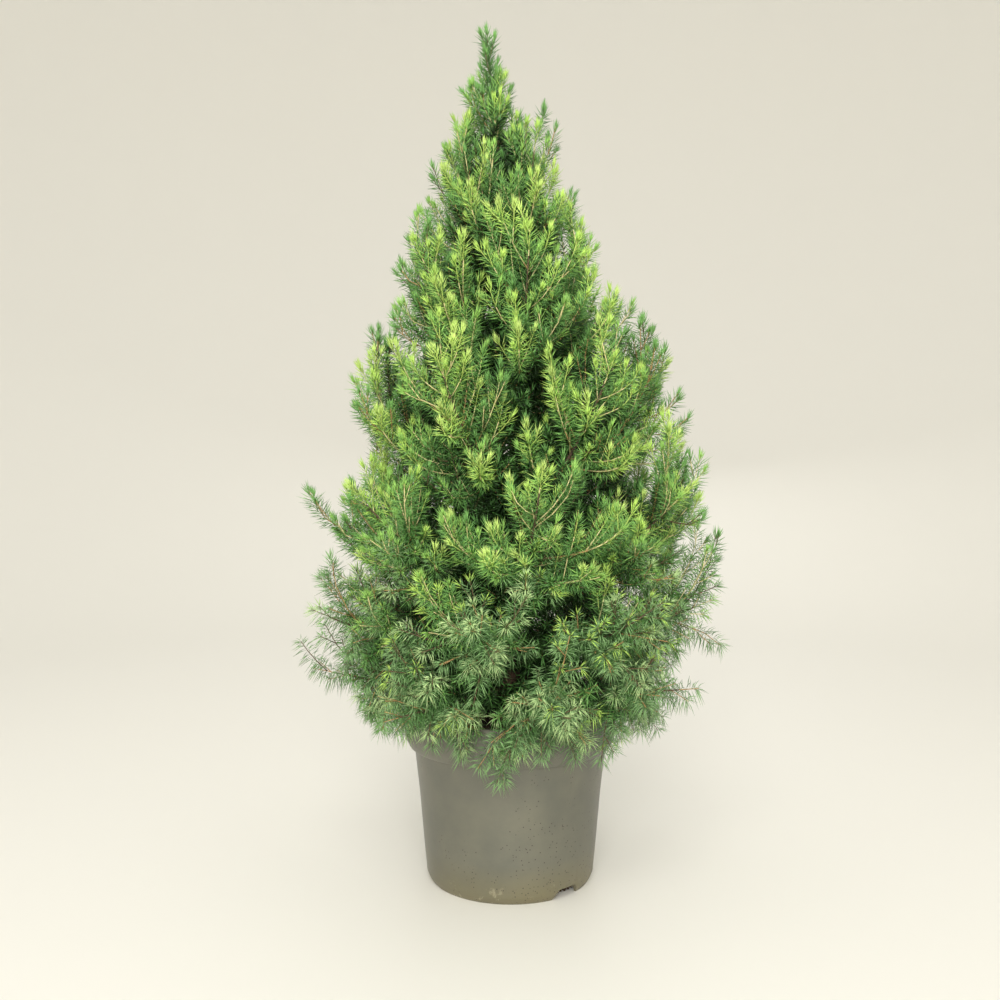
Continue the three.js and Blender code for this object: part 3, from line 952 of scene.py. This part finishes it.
needleSizes = {
    "perMetre": 1220,
    "fewest": 6,  # a shoot with fewer stays bare
    "length": 0.0138,
    "width": 0.00090,
    "tipAngle": 13,
    "sideAngle": 68,
    "tipSpread": 52,  # the needles of the hanging shoots stand wider, like stars
    "sideSpread": 16,
    "topSpread": -13,  # and those of the topmost shoots closer
    "full": 1.08,  # of the length along a shoot's side, less in its brush and more where it hangs
    "tipLess": 0.30,
    "hangMore": 0.26,
    "topLess": 0.10,
    "sweep": 0.38,  # how much a needle bends ahead, and less of it where the shoots hang
    "hangSweep": 0.2,
    "rise": 0.12,  # how much it bends up, and down where the shoots hang
    "droop": 1.5,
    "tipBend": 0.24,  # the bend's share at the tip
    "belly": 0.42,  # where a spindle is widest, and the bend's share there
    "bellyBend": 0.03,
    "brush": 0.0115,  # the length of the paint-brush tip
    "bud": 0.006,
    "budNeedles": 9,  # more of them crowd round each bud
    "turnPlay": 0.35,
    "leanPlay": 6,
    "lengthPlay": 0.1,
    "zonePlay": 0.38,  # how far the colours run into each other
    "zoneShift": 0.0015,
    "droopTop": 0.40,  # below this height the needles lengthen, open out and hang
    "droopFoot": 0.25,
    "topFoot": 0.66,  # above this height they close up
    "topRange": 0.2,
}

needleKinds = {
    "lime": linear(194, 221, 118),
    "limeSoft": linear(180, 215, 101),
    "fresh": linear(145, 192, 92),
    "mid": linear(113, 163, 84),
    "deep": linear(82, 130, 62),
    # the dark kind is painted shade: it darkens the inside of the crown and its sides
    "dark": linear(38, 68, 24),
    "blueTip": linear(178, 206, 140),
    "blue": linear(128, 166, 106),
    "blueDeep": linear(82, 120, 66),
}

palettes = {  # needle kinds from the tip back, and how far from the tip each one ends
    "bright": (("lime", "limeSoft", "fresh", "mid"), (0.011, 0.024, 0.044)),
    "normal": (("limeSoft", "fresh", "mid", "deep"), (0.010, 0.022, 0.046)),
    "plain": (("fresh", "mid", "deep", "deep"), (0.010, 0.030, 0.060)),
    "tipped": (("lime", "fresh", "mid", "blueDeep"), (0.008, 0.020, 0.046)),
    "greyTipped": (("limeSoft", "blue", "blueDeep", "deep"), (0.0035, 0.024, 0.046)),
    "halfCool": (("fresh", "blue", "mid", "deep"), (0.008, 0.022, 0.044)),
    # painted shade: a darker palette for the crown's sides, the plumes that stand out and the leader
    "shaded": (("mid", "deep", "deep", "dark"), (0.012, 0.030, 0.060)),
    "cool": (("blueTip", "blue", "blueDeep", "deep"), (0.009, 0.024, 0.046)),
    "coolPlain": (("blue", "blueDeep", "deep", "deep"), (0.010, 0.028, 0.060)),
    # painted shade: the inner and core palettes darken the needles deep in the crown, where shade falls
    "inner": (("mid", "deep", "dark", "dark"), (0.006, 0.018, 0.060)),
    "core": (("deep", "dark", "dark", "dark"), (0.006, 0.030, 0.060)),
}

paletteZones = {  # above each height, the palettes of a kind of plume, each up to a chance
    "outer": (
        (0.80, (("bright", 0.18), ("normal", 0.66), ("plain", 1))),
        (0.44, (("bright", 0.42), ("normal", 0.80), ("plain", 1))),
        (0.355, (("tipped", 0.26), ("normal", 0.48), ("halfCool", 0.78), ("plain", 1))),
        (0.29, (("greyTipped", 0.26), ("halfCool", 0.50), ("cool", 1))),
        (0, (("greyTipped", 0.12), ("cool", 0.70), ("coolPlain", 1))),
    ),
    # the middle plumes take the inner palette more often than not: painted shade between the outer plumes
    "middle": (
        (0.34, (("inner", 0.6), ("plain", 1))),
        (0, (("inner", 0.6), ("coolPlain", 1))),
    ),
}

# What many side shoots take instead of their plume's palette; the plain ones take painted shade
quieter = {"bright": "normal", "normal": "plain", "tipped": "halfCool", "plain": "shaded"}

sideTones = {  # painted shade on the crown's sides, with fewer lime tips there: the chance of it, and the palette that isn't painted shade
    "beside": 0.72,  # of the way out to the outline
    "lowTop": 0.38,
    "edgeTop": 0.35,  # above this height the plumes that stand out take painted shade
    "low": {"chance": 0.85, "palette": "coolPlain", "share": 0.4},
    "high": {"chance": 0.7, "palette": "plain", "share": 0.55},
}

# The youngest bark on a stem, by its palette; the other stems are brown, or orange
youngBark = {"bright": "lime", "normal": "lime", "tipped": "lime", "plain": "cream", "halfCool": "cream"}
brownShare = 0.55

pieceLimit = 190000  # triangles

# What the plumes have grown so far
grownNeedles = {kind: [] for kind in needleKinds}
grownTwigs = {kind: [] for kind in twigKinds}
growthDice = np.random.default_rng(plumeSizes["seed"])

branchSteps = np.array([pointsOn(branch["curve"], (0, 0.25, 0.5, 0.75, 1)) for branch in branches])


def nearestBranch(point):  # by four straight steps along each
    starts, ends = branchSteps[:, :-1], branchSteps[:, 1:]
    span = ends - starts
    share = np.clip(((point - starts) * span).sum(axis=2) / (span ** 2).sum(axis=2), 0, 1)
    distances = np.linalg.norm(starts + span * share[:, :, None] - point, axis=2).min(axis=1)
    return branches[int(np.argmin(distances))]


def crownGoals():  # where the plumes of all layers end, and their kinds
    size = plumeSizes
    dice = numberStream(branchSizes["seed"] + 500)
    slices = size["slices"]
    found = []
    for count, share, lowest, highest, turn, kind in plumeLayers:
        heights = lowest + (highest - lowest) * (np.arange(slices) + 0.5) / slices
        weights = [crownRadius(height, 0) + size["topWeight"] for height in heights]
        sums = np.concatenate(((0,), np.cumsum(weights)))
        for i in range(count):
            place = np.interp(sums[-1] * (i + 0.5) / count, sums, np.arange(slices + 1)) / slices
            height = lowest + (highest - lowest) * place
            azimuth = i * goldenTurn + math.radians(turn)
            edge = crownRadius(height, azimuth)
            for hollow in hollows:
                edge -= dentAt(azimuth, height, *hollow)
            edge *= share * (1 + size["ragged"] * (2 * next(dice) - 1))
            sunk = clamp((size["lowInsetTop"] - height) / size["lowInsetDrop"])
            reach = max(edge - size["inset"] - size["lowInset"] * sunk, edge / 2)
            found.append((outFrom(height, azimuth, reach), kind))
    return found


def rootFor(goal, branch, first):  # where a plume leaves its branch, to reach its goal at the tier's slant
    steps = np.arange(first, plumeSizes["lastRoot"], plumeSizes["rootStep"])
    roots = pointsOn(branch["curve"], steps)
    tangents = np.array([tangentOn(branch["curve"], t) for t in steps])
    lengths = np.linalg.norm(goal - roots, axis=1)
    slants = np.arccos(np.clip(((goal - roots) * tangents).sum(axis=1) / lengths, -1, 1))
    misses = np.abs(slants - math.radians(branch["slant"]))
    misses += np.maximum(0, lengths / plumeSizes["longest"] - 1)
    best = int(np.argmin(misses))
    return roots[best], tangents[best]


def keepsClear(points):  # of the pot, and inside the reach of the solids
    beside, above = plumeSizes["clearOfPot"]
    away = np.hypot(points[:, 0], points[:, 1])
    outside = (away > potSizes["rimRadius"] + beside) | (points[:, 2] > potSizes["rimHeight"] + above)
    slack = plumeSizes["pastSolids"]
    low, high = np.array(cadBox[0]) - slack, np.array(cadBox[1]) + slack
    return bool(np.all(outside) and np.all(points > low) and np.all(points < high))


def samplePath(start, bend, tip, count):
    return pointOn((start, bend, tip), np.linspace(0, 1, count)[:, None])


def lengthsAlong(path):
    return np.concatenate(((0,), np.cumsum(np.linalg.norm(np.diff(path, axis=0), axis=1))))


def placeAlong(path, lengths, at):
    return np.stack([np.interp(at, lengths, path[:, i]) for i in range(3)], axis=-1)


def lowness(height):  # 0 in the upper crown, 1 near the pot
    size = needleSizes
    return clamp((size["droopTop"] - height) / (size["droopTop"] - size["droopFoot"]))


def topness(height):  # 1 near the tree's top
    return clamp((height - needleSizes["topFoot"]) / needleSizes["topRange"])


def paletteFor(height, kind):
    # the core plumes take the core palette: dark needles that are painted shade inside the crown
    if kind == "core":
        return "core"
    choices = next(choices for lowest, choices in paletteZones[kind] if height > lowest)
    chance = growthDice.random()
    return next(palette for palette, most in choices if chance < most)


def addNeedles(path, palette, kind, bare):
    dice = growthDice
    size = needleSizes
    shoot = shootKinds[kind]
    lengths = lengthsAlong(path)
    total = lengths[-1]
    count = int((total - bare) * size["perMetre"] * shoot["needles"])
    if count < size["fewest"]:
        return
    hanging, peak = lowness(path[-1][2]), topness(path[-1][2])
    along = bare + (total - bare) * (np.arange(count) + dice.random(count)) / count
    if shoot["fine"]:
        along = np.concatenate((along, total - size["bud"] * dice.random(size["budNeedles"])))
        count = len(along)
    base = placeAlong(path, lengths, along)
    ahead = placeAlong(np.gradient(path, lengths, axis=0), lengths, along)
    ahead /= np.linalg.norm(ahead, axis=1, keepdims=True)
    across, third = frameFor(ahead)
    turn = np.arange(count) * goldenTurn + dice.normal(0, size["turnPlay"], count)
    fromTip = total - along
    near = np.clip(1 - (fromTip / size["brush"]) ** 2, 0, 1)
    opened = size["sideAngle"] + size["sideSpread"] * hanging + size["topSpread"] * peak
    closed = size["tipAngle"] + size["tipSpread"] * hanging
    lean = np.radians(opened + (closed - opened) * near + dice.normal(0, size["leanPlay"], count))
    out = across * np.cos(turn)[:, None] + third * np.sin(turn)[:, None]
    heading = ahead * np.cos(lean)[:, None] + out * np.sin(lean)[:, None]
    length = size["full"] - size["tipLess"] * near + size["hangMore"] * hanging - size["topLess"] * peak
    length *= size["length"]
    length *= dice.normal(1, size["lengthPlay"], count)
    bend = ahead * (size["sweep"] - size["hangSweep"] * hanging)
    bend += upwards * (size["rise"] - size["droop"] * hanging)
    girth, fine = np.full(count, shoot["girth"]), np.full(count, shoot["fine"])
    needles = (base, heading, bend, length, girth, fine)
    names, ends = palettes[palette]
    blurred = fromTip * np.exp(dice.normal(0, size["zonePlay"], count))
    zone = np.digitize(blurred + dice.normal(0, size["zoneShift"], count), ends)
    for number, name in enumerate(names):
        chosen = zone == number
        if chosen.any():
            grownNeedles[name].append([part[chosen] for part in needles])


def addTwig(path, youngest):  # a stem, cut where its bark changes with age
    size = twigSizes
    lengths = lengthsAlong(path)
    total = lengths[-1]
    names = list(twigKinds)
    done = 0
    for name in names[names.index(youngest):]:
        end = min(total, twigKinds[name]["end"])
        if end > done + size["shortest"]:
            fromTip = np.linspace(end, done, size["points"])
            radii = np.minimum(size["most"], size["tipRadius"] + size["growth"] * fromTip)
            grownTwigs[name].append((placeAlong(path, lengths, total - fromTip), radii))
            done = end


def dressPath(path, palette, kind, bare):  # a plume's stem with its needles and side shoots
    dice = growthDice
    size = shootSizes
    shoot = shootKinds[kind]
    youngest = youngBark.get(palette, "brown" if dice.random() < brownShare else "orange")
    addTwig(path, youngest)
    addNeedles(path, palette, kind, bare)
    lengths = lengthsAlong(path)
    total = lengths[-1]
    fromTip = shoot["from"] * dice.uniform(*size["fromPlay"])
    turn = dice.random() * 2 * math.pi
    while fromTip < total - 0.5 * bare - size["clearOfRoot"]:
        at = total - fromTip
        start = placeAlong(path, lengths, at)
        behind, beyond = [placeAlong(path, lengths, at + step) for step in (-size["aim"], size["aim"])]
        ahead = unit(beyond - behind)
        across, third = frameFor(ahead)
        out = across * math.cos(turn) + third * math.sin(turn)
        slant = math.radians(size["slant"] + size["slantPlay"] * dice.standard_normal())
        heading = ahead * math.cos(slant) + out * math.sin(slant)
        hanging = lowness(start[2])
        rise = size["rise"] * (1 - hanging)
        heading = unit(heading + rise * upwards + size["outward"] * hanging * unit(start * (1, 1, 0)))
        length = min(shoot["most"], size["shortest"] + shoot["growth"] * fromTip)
        length = max(shoot["least"], length * dice.uniform(*size["lengthPlay"]))
        tip = start + heading * length + upwards * size["curl"] * rise * length
        side = samplePath(start, start + heading * 0.5 * length, tip, size["points"])
        if keepsClear(side):
            addTwig(side, youngest)
            tone = quieter.get(palette, palette) if dice.random() < size["quieterShare"] else palette
            addNeedles(side, tone, kind, size["bare"])
        fromTip += shoot["gap"] * dice.uniform(*size["gapPlay"])
        turn += goldenTurn


def growPlume(goal, kind, palette):
    size = plumeSizes
    branch = nearestBranch(goal)
    root, tangent = rootFor(goal, branch, size["coreRoot"] if kind == "core" else branch["bare"])
    span = np.linalg.norm(goal - root)
    if span < size["least"]:
        return
    low = lowness(goal[2])
    sag = size["sag"] * (1 - size["lowSag"] * low)
    bend = 0.5 * (root + goal) + span * (size["follow"] * tangent - sag * upwards)
    bend += size["lift"] * (1 - low) * (goal - size["lastRise"] * span * upwards - bend)
    path = samplePath(root, bend, goal, size["points"])
    if keepsClear(path[2:]):
        dressPath(path, palette, kind, size["bare"] * span)


def growPlumes():
    size, tones = plumeSizes, sideTones
    for goal, kind in crownGoals():
        palette = paletteFor(goal[2], kind)
        beside = abs(goal[0] - trunkAt(goal[2])[0]) / (crownRadius(goal[2], math.pi / 2) + 0.01)
        tone = tones["low"] if goal[2] < tones["lowTop"] else tones["high"]
        # plumes on the crown's sides often take painted shade
        if kind == "outer" and beside > tones["beside"] and growthDice.random() < tone["chance"]:
            palette = tone["palette"] if growthDice.random() < tone["share"] else "shaded"
        growPlume(goal, kind, palette)
    # the tips that stand out of the outline take painted shade, or the cool plain palette low down
    for tip in edgePlumes:
        growPlume(np.array(tip), "outer", "shaded" if tip[2] > tones["edgeTop"] else "coolPlain")
    for branch in branches:  # the end of each branch is a plume too
        kind = "leader" if branch["name"] == "leader" else "outer"
        path = pointsOn(branch["curve"], branchEnds[kind])
        # the leader takes painted shade
        palette = "shaded" if kind == "leader" else paletteFor(path[-1][2], kind)
        dressPath(path, palette, kind, size["endBare"])
    for twig in hangingTwigs:
        branch = next(one for one in branches if one["name"] == twig["branch"])
        root = pointOn(branch["curve"], twig["from"])
        for tip in np.array(twig["tips"]):
            bend = (1 - size["hangBend"]) * root + size["hangBend"] * tip
            bend[2] = root[2]
            dressPath(samplePath(root, bend, tip, size["points"]), "coolPlain", "outer", size["hangBare"])


def capital(word):
    return word[0].upper() + word[1:]


def needleMaterial(kind):
    colour = needleKinds[kind]
    material, tree, shader = newMaterial("needle" + capital(kind), colour, 0.46)
    drift = addNode(tree, "ShaderNodeTexNoise", Scale=38.0, Detail=3.0)
    onPiece(tree, drift)
    dark = tuple(0.78 * part for part in colour[:3]) + (1,)
    light = tuple(min(1, 1.2 * part) for part in colour[:3]) + (1,)
    tree.links.new(ramp(tree, drift.outputs["Fac"], 0.3, dark, 0.7, light), shader.inputs["Base Color"])
    shader.inputs["Specular IOR Level"].default_value = 0.45
    return material


def needleMesh(base, heading, bend, length, girth, fine):
    size = needleSizes
    width = 0.5 * size["width"] * girth[:, None, None]
    ring = width * ringAround(*frameFor(heading), 3)
    reach = length[:, None]
    tip = base + reach * (heading + size["tipBend"] * bend)
    if fine:  # a slim spindle, bent at its belly
        belly = base + reach * (size["belly"] * heading + size["bellyBend"] * bend)
        corners = np.concatenate((base[:, None], belly[:, None] + ring, tip[:, None]), axis=1)
        faces = [(0, 2, 1), (0, 3, 2), (0, 1, 3), (1, 2, 4), (2, 3, 4), (3, 1, 4)]
    else:
        corners = np.concatenate((base[:, None] + ring, tip[:, None]), axis=1)
        faces = [(2, 1, 0), (0, 1, 3), (1, 2, 3), (2, 0, 3)]
    offsets = np.arange(len(base))[:, None, None] * corners.shape[1]
    return corners.reshape(-1, 3), (np.array(faces)[None] + offsets).reshape(-1, 3)


def joinMeshes(meshes):
    corners, triangles, shift = [], [], 0
    for some, faces in meshes:
        corners.append(some)
        triangles.append(faces + shift)
        shift += len(some)
    return np.concatenate(corners), np.concatenate(triangles)


def bunches(faceCounts):  # numbers of whole needles or stems, in pieces below the limit
    sums = np.cumsum(faceCounts)
    parts = math.ceil(sums[-1] / pieceLimit)
    cuts = np.searchsorted(sums, sums[-1] * np.arange(1, parts) / parts)
    return np.array_split(np.arange(len(faceCounts)), cuts)


def makeNeedles():
    pieces, total = [], 0
    for kind, groups in grownNeedles.items():
        *parts, fine = [np.concatenate(part) for part in zip(*groups)]
        material = needleMaterial(kind)
        for number, chosen in enumerate(bunches(np.where(fine, 6, 4))):
            sorts = {isFine: chosen[fine[chosen] == isFine] for isFine in (True, False)}
            corners, triangles = joinMeshes([needleMesh(*[part[some] for part in parts], isFine)
                                             for isFine, some in sorts.items() if len(some)])
            label = f"needles{capital(kind)}{number + 1}"
            pieces.append(meshPiece(label, corners, triangles, material))
            total += len(triangles)
            print(label, len(chosen), "needles,", len(triangles), "triangles")
    print("needle triangles", total)
    return pieces


def makeTwigs():
    sides = twigSizes["sides"]
    faces = 2 * sides * (twigSizes["points"] - 1) + 2 * (sides - 2)
    for kind, grown in grownTwigs.items():
        paths, radii = [np.array(part) for part in zip(*grown)]
        material = bark(f"{kind}Twigs", *twigKinds[kind]["colours"], twigSizes["flakes"])
        for number, chosen in enumerate(bunches(np.full(len(paths), faces))):
            corners, triangles = tubes(paths[chosen], radii[chosen], sides)
            meshPiece(f"twigs{capital(kind)}{number + 1}", corners, triangles, material)
            print("twigs", kind, len(triangles))


growPlumes()
needlePieces = makeNeedles()
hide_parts(*[f"foliage_{branch['name']}" for branch in branches])
makeTwigs()
print("foliage done")
